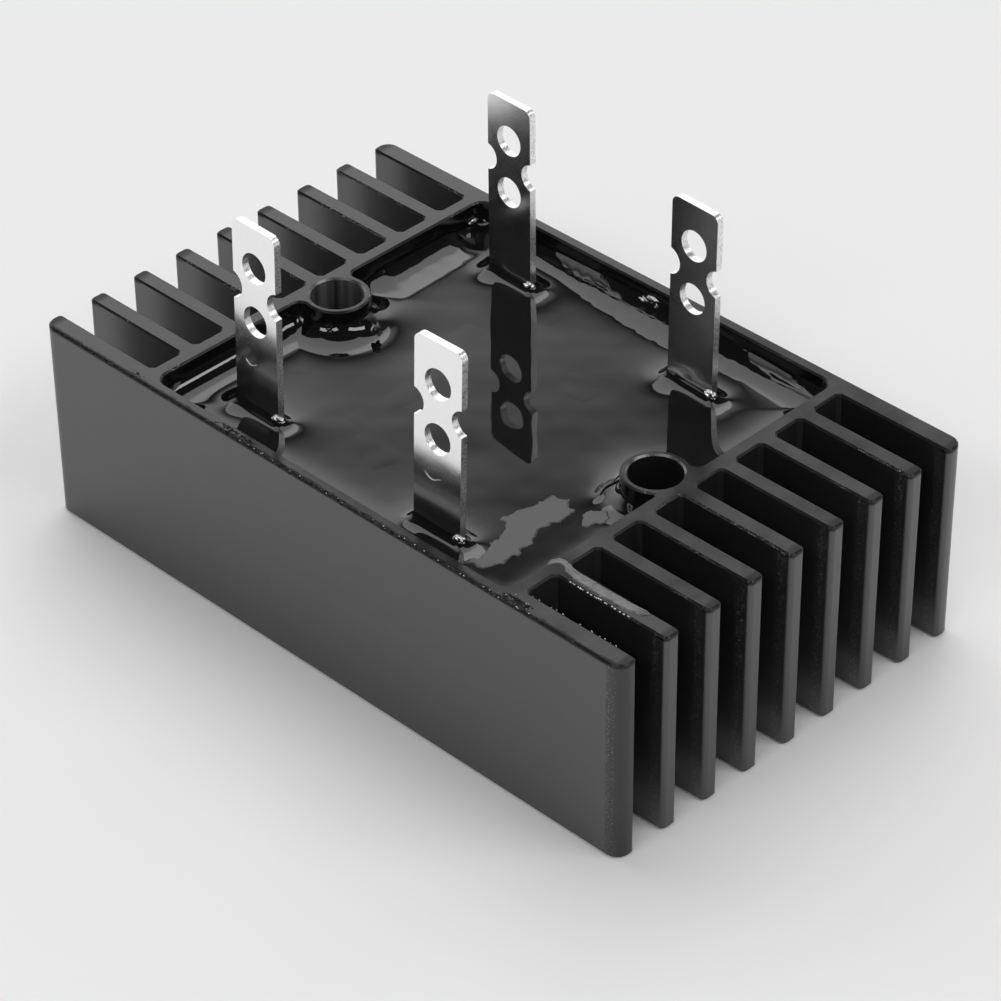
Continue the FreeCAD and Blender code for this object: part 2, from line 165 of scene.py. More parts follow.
def light_studio():
    """The room, its softboxes and a pale floor just under the part."""
    scene = bpy.context.scene
    scene.view_settings.view_transform = "Standard"
    light_world()
    for softbox in SOFTBOXES:
        add_softbox(*softbox)

    mesh = bpy.data.meshes.new("floor")
    corners = [(x * FLOOR_HALF, y * FLOOR_HALF, 0) for x, y in ((-1, -1), (1, -1), (1, 1), (-1, 1))]
    mesh.from_pydata(corners, [], [(0, 1, 2, 3)])
    floor = bpy.data.objects.new("floor", mesh)
    floor.location.z = -FLOOR_DROP
    scene.collection.objects.link(floor)
    recipe = Recipe("pale_floor", Roughness=0.85)
    cloud = recipe.noise(scale=3.0, detail=2.0)
    recipe.colour(recipe.ramp(cloud, [(0.3, 0.80), (0.7, 0.83)]))
    floor.data.materials.append(recipe.material)


# Material recipes

def feed(tree, socket, value):
    """Link a socket to another, or give it a plain value."""
    if isinstance(value, bpy.types.NodeSocket):
        tree.links.new(value, socket)
    else:
        socket.default_value = value


class Recipe:
    """A material being put together from nodes that read the object's own coordinates."""

    def __init__(self, name, **constants):
        self.material = bpy.data.materials.new(name)
        self.material.use_nodes = True
        self.tree = self.material.node_tree
        self.shader = self.tree.nodes["Principled BSDF"]
        self.place = self.add("TexCoord").outputs["Object"]
        for socket, value in constants.items():
            self.shader.inputs[socket.replace("_", " ")].default_value = value

    def add(self, kind, **settings):
        node = self.tree.nodes.new(f"ShaderNode{kind}")
        for key, value in settings.items():
            setattr(node, key, value)
        return node

    def put(self, socket, value):
        feed(self.tree, socket, value)

    def noise(self, scale, detail=3.0, rough=0.5, stretch=(1.0, 1.0, 1.0)):
        mapping = self.add("Mapping")
        mapping.inputs["Scale"].default_value = stretch
        self.put(mapping.inputs["Vector"], self.place)
        texture = self.add("TexNoise")
        self.put(texture.inputs["Vector"], mapping.outputs["Vector"])
        self.put(texture.inputs["Scale"], scale)
        self.put(texture.inputs["Detail"], detail)
        self.put(texture.inputs["Roughness"], rough)
        return texture.outputs["Fac"]

    def math(self, operation, first, second=0.0):
        node = self.add("Math", operation=operation)
        for socket, value in zip(node.inputs, (first, second)):
            self.put(socket, value)
        return node.outputs["Value"]

    def times(self, first, *others):
        for other in others:
            first = self.math("MULTIPLY", first, other)
        return first

    def without(self, mask):
        return self.math("SUBTRACT", 1.0, mask)

    def size_of(self, value):
        return self.math("ABSOLUTE", value)

    def ramp(self, factor, stops):
        """A grey ramp: pairs of position and grey level, or of position and colour."""
        node = self.add("ValToRGB")
        self.put(node.inputs["Fac"], factor)
        ramp = node.color_ramp
        while len(ramp.elements) < len(stops):
            ramp.elements.new(0.5)
        for element, (position, shade) in zip(ramp.elements, stops):
            element.position = position
            element.color = (shade, shade, shade, 1.0) if isinstance(shade, float) else (*shade, 1.0)
        return node.outputs["Color"]

    def within(self, value, low, high, soft):
        """One between two limits and zero outside, with soft edges."""
        rise = self.add("MapRange", interpolation_type="SMOOTHSTEP")
        fall = self.add("MapRange", interpolation_type="SMOOTHSTEP")
        for node, start, end in ((rise, low - soft, low + soft), (fall, high + soft, high - soft)):
            self.put(node.inputs["Value"], value)
            self.put(node.inputs["From Min"], start)
            self.put(node.inputs["From Max"], end)
        return self.math("MULTIPLY", rise.outputs["Result"], fall.outputs["Result"])

    def above(self, value, low, soft):
        return self.within(value, low, FAR, soft)

    def below(self, value, high, soft):
        return self.within(value, -FAR, high, soft)

    def axes(self, source=None):
        node = self.add("SeparateXYZ")
        self.put(node.inputs["Vector"], source or self.place)
        return node.outputs["X"], node.outputs["Y"], node.outputs["Z"]

    def facing(self):
        """The surface's own normal, one number for each axis."""
        return self.axes(self.add("NewGeometry").outputs["True Normal"])

    def blend(self, factor, first, second):
        """A mix of two colours, each from a socket or a plain grey level."""
        node = self.add("Mix", data_type="RGBA")
        self.put(node.inputs["Factor"], factor)
        for name, value in (("A", first), ("B", second)):
            socket = [item for item in node.inputs if item.name == name and item.type == "RGBA"][0]
            if isinstance(value, float):
                value = (value, value, value, 1.0)
            self.put(socket, value)
        return [item for item in node.outputs if item.type == "RGBA"][0]

    def colour(self, source):
        self.put(self.shader.inputs["Base Color"], source)

    def roughness(self, source):
        self.put(self.shader.inputs["Roughness"], source)

    def bump(self, *layers):
        """Bumps from pairs of height source and depth in millimetres, one over another."""
        under = None
        for height, depth in layers:
            node = self.add("Bump")
            self.put(node.inputs["Height"], height)
            node.inputs["Distance"].default_value = depth * MM
            if under:
                self.put(node.inputs["Normal"], under)
            under = node.outputs["Normal"]
        self.put(self.shader.inputs["Normal"], under)


def anodised_recipe():
    """Black anodised extrusion: satin outside, wet with resin inside, sawn top and bottom."""
    recipe = Recipe("black_anodised_housing", IOR=1.9)
    x, y, z = recipe.axes()
    _, normal_y, normal_z = recipe.facing()
    lying = recipe.size_of(normal_z)
    cloud = recipe.noise(55.0, detail=3.0)
    smudge = recipe.noise(240.0, detail=4.0, rough=0.6)
    grain = recipe.noise(3800.0, detail=2.0)
    drawn = recipe.noise(900.0, detail=3.0, stretch=(1.0, 1.0, 0.02))
    sawn = recipe.above(lying, 0.9, 0.05)
    upright = recipe.below(lying, 0.25, 0.05)
    broken = recipe.within(lying, 0.4, 0.85, 0.05)

    # The screw bores, which stay dry, and the walls that the resin has wetted
    crisp = 0.04 * MM
    shifted = recipe.size_of(recipe.math("SUBTRACT", x, BORE_SHIFT * MM))
    across = recipe.math("SUBTRACT", shifted, BORE_X * MM)
    reach = recipe.math("SQRT", recipe.math("ADD", recipe.times(across, across), recipe.times(y, y)))
    left = recipe.below(x, 0.0, 9.0 * MM)
    bore = recipe.times(upright, recipe.below(reach, (BORE_RADIUS + 0.08) * MM, crisp))
    inside = recipe.times(upright, recipe.below(recipe.size_of(x), (CAVITY_END + 0.1) * MM, crisp),
                          recipe.below(recipe.size_of(y), (CAVITY_SIDE + 0.1) * MM, crisp))
    wet = recipe.times(inside, recipe.without(bore))
    reamed = recipe.noise(700.0, detail=3.0, stretch=(1.0, 1.0, 0.06))

    # Dull places and painted shade: the front edge, with a painted shadow of its burr, the fin tips,
    # darkened as painted shade of their rounding, the near corner, the broken edges away from the bores,
    # darkened as painted shade, a patch of painted shade on the tops round the smear, and the tops on
    # the right, darker as painted shade
    wander = recipe.math("ADD", y, recipe.times(recipe.noise(700.0, detail=4.0, rough=0.7), 0.9 * MM))
    # Painted shadow: the front edge is darkened where its burr would shade it
    burr = recipe.times(recipe.below(wander, -24.12 * MM, 0.05 * MM),
                        recipe.above(z, (RIM - 0.42) * MM, 0.08 * MM))
    # Painted shade: the tops of the fin tips are darkened in place of the shading of their rounding
    tip_painted_shade = recipe.times(recipe.above(z, (RIM - 0.5) * MM, 0.15 * MM),
                        recipe.above(recipe.size_of(x), 39.7 * MM, 0.8 * MM))
    corner = recipe.times(upright, recipe.above(x, 39.3 * MM, 0.2 * MM),
                          recipe.below(y, -22.5 * MM, 0.3 * MM))
    # Painted shade: the broken edges away from the bores are darkened to a thin dark line
    line = recipe.times(broken, recipe.above(reach, (BORE_RADIUS + 0.5) * MM, crisp))
    # Painted shade: a patch of the sawn tops round the smear is darkened
    painted_shade_patch = recipe.times(sawn, recipe.within(x, 23.0 * MM, 32.0 * MM, 4.0 * MM),
                          recipe.within(y, -23.0 * MM, -13.0 * MM, 4.0 * MM))
    # Painted shade: the sawn tops on the right are duller than those on the left
    dull = recipe.times(sawn, recipe.math("SUBTRACT", 0.68, recipe.times(left, 0.28)))
    for mask, depth in ((burr, 1.0), (tip_painted_shade, 0.95), (corner, 0.5), (wet, 0.85), (painted_shade_patch, 0.97),
                        (line, 1.0)):
        dull = recipe.math("MAXIMUM", dull, recipe.times(mask, depth))
    recipe.put(recipe.shader.inputs["Specular IOR Level"],
               recipe.math("SUBTRACT", 0.5, recipe.times(dull, 0.42)))

    # Bare metal: pin-pricks on the broken edges in places, and a worn stripe at the near corner
    pricks = recipe.ramp(recipe.noise(9500.0, detail=2.0), [(0.60, 0.0), (0.68, 1.0)])
    places = recipe.ramp(recipe.noise(150.0, detail=2.0), [(0.52, 0.0), (0.60, 1.0)])
    stripe = recipe.times(recipe.within(x, 39.3 * MM, 40.4 * MM, 0.4 * MM),
                          recipe.below(normal_y, -0.8, 0.05), pricks)
    bare = recipe.math("MAXIMUM", recipe.times(broken, pricks, places, 0.8),
                       recipe.times(stripe, 0.35))

    shade = recipe.blend(sawn, recipe.ramp(cloud, [(0.25, 0.006), (0.75, 0.010)]),
                         recipe.ramp(smudge, [(0.3, 0.006), (0.7, 0.010)]))
    reamed_shade = recipe.ramp(reamed, [(0.38, 0.012), (0.62, 0.100)])
    shade = recipe.blend(bore, shade, recipe.blend(left, 0.006, reamed_shade))
    recipe.colour(recipe.blend(bare, recipe.blend(wet, shade, 0.004), 0.55))
    uneven = recipe.math("ADD", recipe.times(cloud, 0.6), recipe.times(smudge, 0.4))
    rough = recipe.blend(sawn, recipe.ramp(uneven, [(0.3, 0.30), (0.7, 0.40)]),
                         recipe.ramp(smudge, [(0.3, 0.15), (0.7, 0.24)]))
    recipe.roughness(recipe.blend(wet, rough, 0.16))
    runs = recipe.times(wet, recipe.noise(260.0, detail=1.0, stretch=(1.0, 1.0, 0.45)))
    recipe.bump((grain, 0.003), (drawn, 0.006), (smudge, 0.006), (runs, 0.025))
    return recipe.material


def resin_recipe():
    """Cast potting resin: nearly black and mirror smooth, with fine dust pits."""
    recipe = Recipe("glossy_potting_resin", IOR=1.53)
    cloud = recipe.noise(120.0, detail=2.0)
    dust = recipe.noise(900.0, detail=4.0, rough=0.7)
    recipe.colour(recipe.ramp(cloud, [(0.3, 0.0030), (0.7, 0.0050)]))
    recipe.roughness(recipe.ramp(dust, [(0.45, 0.02), (0.8, 0.07)]))
    dimples = recipe.ramp(recipe.noise(190.0, detail=1.0), [(0.62, 0.0), (0.80, 1.0)])
    recipe.bump((recipe.noise(220.0, detail=1.0), 0.002), (dimples, 0.006))
    return recipe.material


def skin_recipe():
    """A dull skin on the resin, where it set with a matt surface."""
    recipe = Recipe("dull_resin_skin", IOR=1.53)
    cloud = recipe.noise(500.0, detail=3.0, rough=0.6)
    recipe.colour(recipe.ramp(cloud, [(0.3, 0.032), (0.7, 0.044)]))
    recipe.roughness(recipe.ramp(cloud, [(0.3, 0.32), (0.7, 0.44)]))
    recipe.bump((recipe.noise(2400.0, detail=2.0), 0.002))
    return recipe.material


def smear_recipe():
    """Resin that was wiped over the rim and dried to a pale, oily film."""
    recipe = Recipe("dried_resin_smear", IOR=1.53)
    cloud = recipe.noise(900.0, detail=4.0, rough=0.6)
    recipe.colour(recipe.ramp(cloud, [(0.3, 0.07), (0.7, 0.15)]))
    recipe.roughness(recipe.ramp(cloud, [(0.3, 0.20), (0.7, 0.38)]))
    recipe.bump((recipe.noise(2600.0, detail=3.0), 0.02))
    return recipe.material


def burr_recipe():
    """Dull black scale on the saw's burr."""
    recipe = Recipe("dull_black_burr", Specular_IOR_Level=0.2)
    grain = recipe.noise(6000.0, detail=3.0)
    recipe.colour(recipe.ramp(grain, [(0.3, 0.002), (0.7, 0.006)]))
    recipe.roughness(recipe.ramp(grain, [(0.3, 0.30), (0.7, 0.55)]))
    return recipe.material


def tin_recipe():
    """Bright tin plate on a rolled strip, with punched, speckled edges."""
    recipe = Recipe("bright_tin_plate", Metallic=1.0)
    _, normal_y, _ = recipe.facing()
    face = recipe.above(recipe.size_of(normal_y), 0.9, 0.05)
    edge = recipe.without(face)
    speck = recipe.noise(5200.0, detail=3.0, rough=0.7)
    grain = recipe.noise(3400.0, detail=3.0, stretch=(1.0, 1.0, 0.7))
    cloud = recipe.noise(260.0, detail=3.0)
    pits = recipe.ramp(recipe.noise(5200.0, detail=2.0), [(0.72, 1.0), (0.80, 0.60)])
    bright = recipe.ramp(speck, [(0.3, 0.90), (0.6, 0.96)])
    dull = recipe.ramp(speck, [(0.35, 0.58), (0.6, 0.96)])
    recipe.colour(recipe.times(recipe.blend(face, dull, bright), pits))
    flat = recipe.ramp(recipe.math("ADD", recipe.times(cloud, 0.65), recipe.times(grain, 0.35)),
                       [(0.35, 0.15), (0.65, 0.21)])
    recipe.roughness(recipe.blend(face, recipe.ramp(speck, [(0.3, 0.22), (0.7, 0.45)]), flat))
    recipe.bump((grain, 0.0004), (speck, 0.0010), (recipe.times(speck, edge), 0.018))
    return recipe.material


def plain_recipe(name, metallic, low, high, rough, scale, depth):
    """A simple finish: two shades, a roughness range, and a grain with its scale and depth."""
    recipe = Recipe(name, Metallic=metallic)
    grain = recipe.noise(scale, detail=4.0)
    recipe.colour(recipe.ramp(grain, [(0.3, low), (0.7, high)]))
    recipe.roughness(recipe.ramp(grain, [(0.3, rough), (0.7, rough + 0.15)]))
    recipe.bump((grain, depth))
    return recipe.material


# Building

def new_piece(name, vertices, faces, material, smooth=True):
    """A mesh piece from points in millimetres, riding on the module."""
    mesh = bpy.data.meshes.new(name)
    mesh.from_pydata([Vector(point) * MM for point in vertices], [], faces)
    mesh.validate()
    piece = bpy.data.objects.new(name, mesh)
    bpy.context.scene.collection.objects.link(piece)
    finish_piece(piece, material, smooth)
    return piece


def finish_piece(piece, material, smooth=True):
    """Give a piece its one material and its shading, and let it ride on the module."""
    piece.data.materials.clear()
    piece.data.materials.append(material)
    for polygon in piece.data.polygons:
        polygon.use_smooth = smooth
    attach(piece, "root")


def piece_from_shell(name, shell, material):
    """A piece from a finished bmesh, which it frees."""
    mesh = bpy.data.meshes.new(name)
    shell.to_mesh(mesh)
    shell.free()
    piece = bpy.data.objects.new(name, mesh)
    bpy.context.scene.collection.objects.link(piece)
    finish_piece(piece, material)
    return piece


def ordered_loops(edges):
    """Chains of points from the ends of edges, each chain closed."""
    links = {}
    for start, end in edges:
        links.setdefault(start, []).append(end)
        links.setdefault(end, []).append(start)
    loops = []
    while links:
        first = next(iter(links))
        loop, before, here = [first], None, first
        while True:
            ahead = [point for point in links[here] if point != before]
            if not ahead or ahead[0] == first:
                break
            before, here = here, ahead[0]
            loop.append(here)
        for point in loop:
            links.pop(point, None)
        loops.append(loop)
    return loops


def node_outline(name, height):
    """The longest outline of a CAD node where a level plane cuts it, in millimetres."""
    mesh = bmesh.new()
    mesh.from_mesh(nodes[name].data)
    bmesh.ops.remove_doubles(mesh, verts=mesh.verts, dist=WELD)
    whole = mesh.verts[:] + mesh.edges[:] + mesh.faces[:]
    cut = bmesh.ops.bisect_plane(mesh, geom=whole, dist=WELD, plane_co=(0, 0, height * MM),
                                 plane_no=(0, 0, 1))["geom_cut"]
    edges = [item for item in cut if isinstance(item, bmesh.types.BMEdge)]
    pairs = [[(round(v.co.x / MM, 4), round(v.co.y / MM, 4)) for v in edge.verts] for edge in edges]
    mesh.free()
    return max(ordered_loops([pair for pair in pairs if pair[0] != pair[1]]), key=len)


def inside_loop(points, loop):
    """Which points of an array lie inside a closed outline."""
    loop = np.array(loop)
    inside = np.zeros(len(points), bool)
    for start, end in zip(loop, np.roll(loop, -1, axis=0)):
        crosses = (start[1] > points[:, 1]) != (end[1] > points[:, 1])
        rise = end[1] - start[1]
        at = start[0] + (points[:, 1] - start[1]) * (end[0] - start[0]) / (rise if rise else 1e-12)
        inside ^= crosses & (points[:, 0] < at)
    return inside


def loop_distance(points, loop):
    """The distance of each point from a closed outline."""
    loop = np.array(loop)
    nearest = np.full(len(points), 1e9)
    for start, end in zip(loop, np.roll(loop, -1, axis=0)):
        span = end - start
        part = np.clip(((points - start) @ span) / max(span @ span, 1e-12), 0.0, 1.0)
        nearest = np.minimum(nearest, np.hypot(*(points - start - part[:, None] * span).T))
    return nearest


def waves(points, seed, count, shortest, longest, depth):
    """A gentle uneven height: a sum of sine waves in set random directions."""
    chance = np.random.default_rng(seed)
    height = np.zeros(len(points))
    for _ in range(count):
        length = chance.uniform(shortest, longest)
        angle, phase = chance.uniform(0, 2 * math.pi, 2)
        along = points @ np.array([math.cos(angle), math.sin(angle)])
        height += np.sin(2 * math.pi * along / length + phase) * length / longest
    return height * depth / math.sqrt(count)


# Shallow hollows in the resin: place, the two half sizes, turn and depth
RESIN_DENTS = [
    (-14.0, 3.0, 3.5, 5.0, 20.0, 0.05),
    (-9.0, 14.0, 3.0, 2.5, 0.0, 0.04),
    (3.0, -8.0, 4.0, 3.0, 10.0, 0.03),
    (24.2, -14.5, 4.4, 7.5, 0.0, 0.06),
]

# Places where the resin set with a dull skin
RESIN_SKINS = [
    [(13.45, -13.1), (14.0, -10.6), (14.5, -8.6), (15.0, -6.5), (16.6, -6.1), (18.0, -7.0),
     (18.4, -9.2), (17.5, -11.2), (18.3, -12.8), (19.0, -15.9), (18.9, -18.0), (17.7, -20.1),
     (16.2, -20.5), (16.7, -18.6), (16.0, -16.2), (15.2, -13.4)],
    [(19.3, -7.1), (19.1, -5.3), (21.5, -5.3), (21.7, -7.2), (20.2, -7.9)],
]

# Where the wide swell along the back wall starts
BACK_SWELL = [(-16.0, 22.6), (-9.5, 21.8), (-5.6, 20.6), (-1.4, 20.4), (1.9, 19.9), (5.4, 20.1),
              (12.0, 20.8), (19.0, 21.8)]

# A loose thread of resin that set beside the right boss
THREAD = [(18.3, -3.6), (18.05, -3.0), (18.0, -2.4), (18.15, -1.9), (18.6, -1.5), (19.1, -1.45)]

# How the resin climbs a wall: two rises, and the distance over which each dies away
BROAD_RISE, BROAD_REACH = 0.62, 1.7
STEEP_RISE, STEEP_REACH = 0.85, 0.8

# The same for a tab, with a small swell beside one of its corners
COLLAR_RISE, COLLAR_REACH = 0.75, 0.45
APRON_RISE, APRON_REACH = 0.29, 2.1
CORNER_RISE, CORNER_REACH = 0.16, 1.3

# The same for the bosses' inner sides and for the loose thread
BOSS_RISE, BOSS_REACH = 0.30, 1.1
THREAD_RISE, THREAD_REACH = 0.16, 0.45

# How far from a wall the surface grows uneven, and where the swells start and how steep they are
CALM_REACH = 3.0
LEFT_SWELL = -20.9
BACK_SLOPE, LEFT_SLOPE = 0.13, 0.12

# The spacing of points inside the resin's surface and along its borders, and their rings there
GRID_STEP = 0.38
BORDER_STEP = 0.5
WALL_RINGS = (0.08, 0.18, 0.32, 0.5)
TAB_RINGS = (0.06, 0.15, 0.27, 0.42)

# A skin's thickness over the resin, its depth below it, and how far its rim tapers
SKIN_LIFT, SKIN_DEPTH, SKIN_TAPER = 0.018, 0.04, 0.12


def eased(values, start, end):
    """Zero where a value hasn't reached the start, one past the end and even between them."""
    return np.clip((values - start) / (end - start), 0.0, 1.0)


def resin_outlines():
    """The outline of the resin, and of each tab just above its surface."""
    tabs = [node_outline(tab, RESIN_LEVEL + 0.4) for tab in TABS]
    return node_outline("potting_resin", OUTLINE_HEIGHT), tabs


def resin_height(points, outline, tab_outlines):
    """The resin's surface: level, uneven by a hair, and drawn up at every wall and tab."""
    x, y = points.T
    wall = loop_distance(points, outline)
    near_right = eased(x, 13.0, 19.0) * eased(y, 3.0, -3.0)
    flatter = eased(x, -20.0, -23.0) * eased(y, 4.0, 6.0)
    height = RESIN_LEVEL + (BROAD_RISE - 0.50 * near_right) * np.exp(-wall / BROAD_REACH)
    height += (STEEP_RISE - 0.62 * flatter) * np.exp(-wall / STEEP_REACH)
    for loop in tab_outlines:
        away = loop_distance(points, loop)
        away[inside_loop(points, loop)] = 0.0
        height += (COLLAR_RISE * np.exp(-away / COLLAR_REACH)
                   + APRON_RISE * np.exp(-away / APRON_REACH))
        corner_x, corner_y = min(loop)
        swell = np.hypot(x - corner_x - 0.5, y - corner_y + 0.7)
        height += CORNER_RISE * np.exp(-(swell / CORNER_REACH) ** 2)
    calm = 1.0 - np.exp(-wall / CALM_REACH)
    height += calm * waves(points, 3, 9, 9.0, 22.0, 0.018)
    height += calm * waves(points, 8, 10, 2.5, 6.0, 0.003)
    for dent_x, dent_y, width, depth, turn, drop in RESIN_DENTS:
        cosine, sine = math.cos(math.radians(turn)), math.sin(math.radians(turn))
        across, along = x - dent_x, y - dent_y
        u = (cosine * across + sine * along) / width
        v = (cosine * along - sine * across) / depth
        height -= drop * np.exp(-(u * u + v * v))
    boss = np.hypot(np.abs(x - BORE_SHIFT) - BORE_X, y)
    height += BOSS_RISE * np.exp(-wall / BOSS_REACH) * eased(boss, 6.4, 4.8)

    # The swells along the back wall and the left wall, which start at wavy lines
    back = np.interp(x, *np.array(BACK_SWELL).T) + waves(points, 5, 6, 0.8, 3.0, 0.16)
    height += eased(x, -17.0, -13.0) * eased(x, 21.0, 17.0) * BACK_SLOPE * np.maximum(0.0, y - back)
    left = LEFT_SWELL + waves(points, 6, 6, 0.8, 3.0, 0.12)
    height += eased(y, 5.5, 8.5) * eased(y, 20.0, 18.0) * LEFT_SLOPE * np.maximum(0.0, left - x)
    thread = loop_distance(points, THREAD + THREAD[::-1])
    return height + THREAD_RISE * np.exp(-thread / THREAD_REACH)


def surface_points(outline, tab_outlines):
    """Points for the resin's surface, the wall's border first, and the edges of all its borders."""
    columns, rows = np.meshgrid(np.arange(-CAVITY_END, CAVITY_END, GRID_STEP),
                                np.arange(-CAVITY_SIDE, CAVITY_SIDE, GRID_STEP))
    columns = columns + (np.arange(columns.shape[0]) % 2)[:, None] * GRID_STEP / 2
    grid = np.stack([columns.ravel(), rows.ravel()], 1)
    keep = inside_loop(grid, outline) & (loop_distance(grid, outline) > 0.6)
    for loop in tab_outlines:
        keep &= loop_distance(grid, loop) > 0.5
    fences = [outline]
    rings = []
    for gap in WALL_RINGS:
        rings += beside_loop(outline, -gap, 0.35)
    for loop in tab_outlines:
        centre = np.array(loop).mean(axis=0)
        fences.append([tuple(centre + (np.array(point) - centre) * 0.995) for point in loop])
        for gap in TAB_RINGS:
            rings += beside_loop(loop, gap, 0.2)
    points, edges = [], []
    for fence in fences:
        start = len(points)
        fence = subdivided(fence, BORDER_STEP)
        points += fence
        edges += [(start + i, start + (i + 1) % len(fence)) for i in range(len(fence))]
    return points + rings + [tuple(point) for point in grid[keep]], edges


def pour_resin(material, outlines):
    """The resin block with its real surface, closed down to the base plate."""
    points, edges = surface_points(*outlines)
    border = len(subdivided(outlines[0], BORDER_STEP))
    points = [Vector(point) for point in points]
    found, _, triangles, sources, _, _ = delaunay_2d_cdt(points, edges, [], 1, 1e-6)
    flat = np.array([(point.x, point.y) for point in found])
    heights = resin_height(flat, *outlines)
    order = [next(i for i, made in enumerate(sources) if k in made) for k in range(border)]
    vertices = [(x, y, z) for (x, y), z in zip(flat, heights)]
    faces = [tuple(face) for face in triangles]
    floor_start = len(vertices)
    vertices += [(flat[i][0], flat[i][1], RESIN_FOOT) for i in order]
    for k, i in enumerate(order):
        following = (k + 1) % border
        faces.append((i, order[following], floor_start + following, floor_start + k))
    faces.append(tuple(floor_start + k for k in range(border)))
    piece = new_piece("resin_pour", vertices, faces, material)
    tidy = bmesh.new()
    tidy.from_mesh(piece.data)
    bmesh.ops.remove_doubles(tidy, verts=tidy.verts, dist=WELD)
    bmesh.ops.recalc_face_normals(tidy, faces=tidy.faces)
    bmesh.ops.triangulate(tidy, faces=[face for face in tidy.faces if len(face.verts) > 4])
    tidy.to_mesh(piece.data)
    tidy.free()
    piece.data.set_sharp_from_angle(angle=math.radians(50))
    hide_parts("potting_resin")
    return piece


def frayed(loop, seed):
    """A closed outline made ragged by short waves along both axes."""
    dense = np.array(subdivided(loop, 0.12))
    shift = np.stack([waves(dense, seed + axis, 9, 0.6, 2.2, 0.34) for axis in (0, 1)], 1)
    return [tuple(point) for point in dense + shift]


def grow_skins(material, outlines):
    """Thin closed skins that lie on the resin inside ragged outlines."""
    grid = np.array([(x, y) for x in np.arange(12.0, 23.0, 0.3) for y in np.arange(-21.5, -4.0, 0.3)])
    vertices, faces = [], []
    for seed, loop in enumerate(RESIN_SKINS):
        loop = frayed(loop, 31 + 2 * seed)
        inner = grid[inside_loop(grid, loop) & (loop_distance(grid, loop) > SKIN_TAPER)]
        points = [Vector(point) for point in loop] + [Vector(point) for point in inner]
        rim = [(k, (k + 1) % len(loop)) for k in range(len(loop))]
        found, _, triangles, _, _, _ = delaunay_2d_cdt(points, rim, [], 1, 1e-6)
        flat = np.array([(point.x, point.y) for point in found])
        level = resin_height(flat, *outlines)
        lift = SKIN_LIFT * eased(loop_distance(flat, loop), 0.0, SKIN_TAPER) + 0.002
        first, count = len(vertices), len(flat)
        vertices += [(x, y, z) for (x, y), z in zip(flat, level + lift)]
        vertices += [(x, y, z) for (x, y), z in zip(flat, level - SKIN_DEPTH)]
        sides = {}
        for triangle in triangles:
            for start, end in zip(triangle, triangle[1:] + triangle[:1]):
                sides[(start, end)] = sides.get((start, end), 0) + 1
        faces += [tuple(first + i for i in triangle) for triangle in triangles]
        faces += [tuple(first + count + i for i in reversed(triangle)) for triangle in triangles]
        faces += [(first + end, first + start, first + count + start, first + count + end)
                  for start, end in sides if (end, start) not in sides]
    piece = outward(new_piece("resin_skin", vertices, faces, material))
    return piece


def subdivided(loop, longest):
    """A closed outline with no side longer than a limit."""
    made = []
    for start, end in zip(loop, loop[1:] + loop[:1]):
        count = max(1, math.ceil(math.dist(start, end) / longest))
        span_x, span_y = end[0] - start[0], end[1] - start[1]
        made += [(start[0] + span_x * k / count, start[1] + span_y * k / count) for k in range(count)]
    return made


def beside_loop(loop, gap, longest):
    """Points that follow an outline at a distance: outside it, or inside where the gap is negative."""
    dense = np.array(subdivided(loop, longest))
    after, before = np.roll(dense, -1, axis=0), np.roll(dense, 1, axis=0)
    along = after - before
    along /= np.maximum(np.hypot(*along.T), 1e-9)[:, None]
    turning = np.sum(dense[:, 0] * after[:, 1] - after[:, 0] * dense[:, 1])
    away = np.stack([along[:, 1], -along[:, 0]], 1) * np.sign(turning)
    ring = dense + away * gap
    return [tuple(point) for point in ring[loop_distance(ring, loop) > 0.9 * abs(gap)]]


def smooth_path(points, step):
    """Points close together on a smooth line through the given ones."""
    points = [np.array(point, float) for point in points]
    points = [2 * points[0] - points[1]] + points + [2 * points[-1] - points[-2]]
    made = []
    for a, b, c, d in zip(points, points[1:], points[2:], points[3:]):
        count = max(2, math.ceil(np.linalg.norm(c - b) / step))
        for t in np.arange(count) / count:
            made.append(0.5 * (2 * b + (c - a) * t + (2 * a - 5 * b + 4 * c - d) * t ** 2
                               + (3 * b - a - 3 * c + d) * t ** 3))
    return made + [points[-2]]


def closed_sweep(rings):
    """Vertices and faces of a tube through rings of points, closed at both ends."""
    count = len(rings[0])
    vertices = [tuple(point) for ring in rings for point in ring]
    faces = []
    for k in range(len(rings) - 1):
        for i in range(count):
            j = (i + 1) % count
            faces.append((k * count + i, k * count + j, (k + 1) * count + j, (k + 1) * count + i))
    faces.append(tuple(range(count))[::-1])
    last = (len(rings) - 1) * count
    faces.append(tuple(range(last, last + count)))
    return vertices, faces


def outward(piece):
    """Turn a closed piece's faces to point outwards."""
    shell = bmesh.new()
    shell.from_mesh(piece.data)
    bmesh.ops.recalc_face_normals(shell, faces=shell.faces)
    shell.to_mesh(piece.data)
    shell.free()
    return piece


def thread_along(name, path, radius, material):
    """A round thread that thins out at both ends."""
    path = smooth_path(path, 0.12)
    rings = []
    for k, point in enumerate(path):
        ahead = path[min(k + 1, len(path) - 1)] - path[max(k - 1, 0)]
        ahead /= np.linalg.norm(ahead)
        side = np.cross(ahead, (0, 0, 1.0))
        side /= max(np.linalg.norm(side), 1e-9)
        up = np.cross(side, ahead)
        share = k / (len(path) - 1)
        width = radius * (0.25 + 0.75 * math.sin(math.pi * share) ** 0.5)
        rings.append([point + width * (math.cos(a) * side + math.sin(a) * up)
                      for a in np.arange(8) * math.pi / 4])
    piece = outward(new_piece(name, *closed_sweep(rings), material))
    return piece


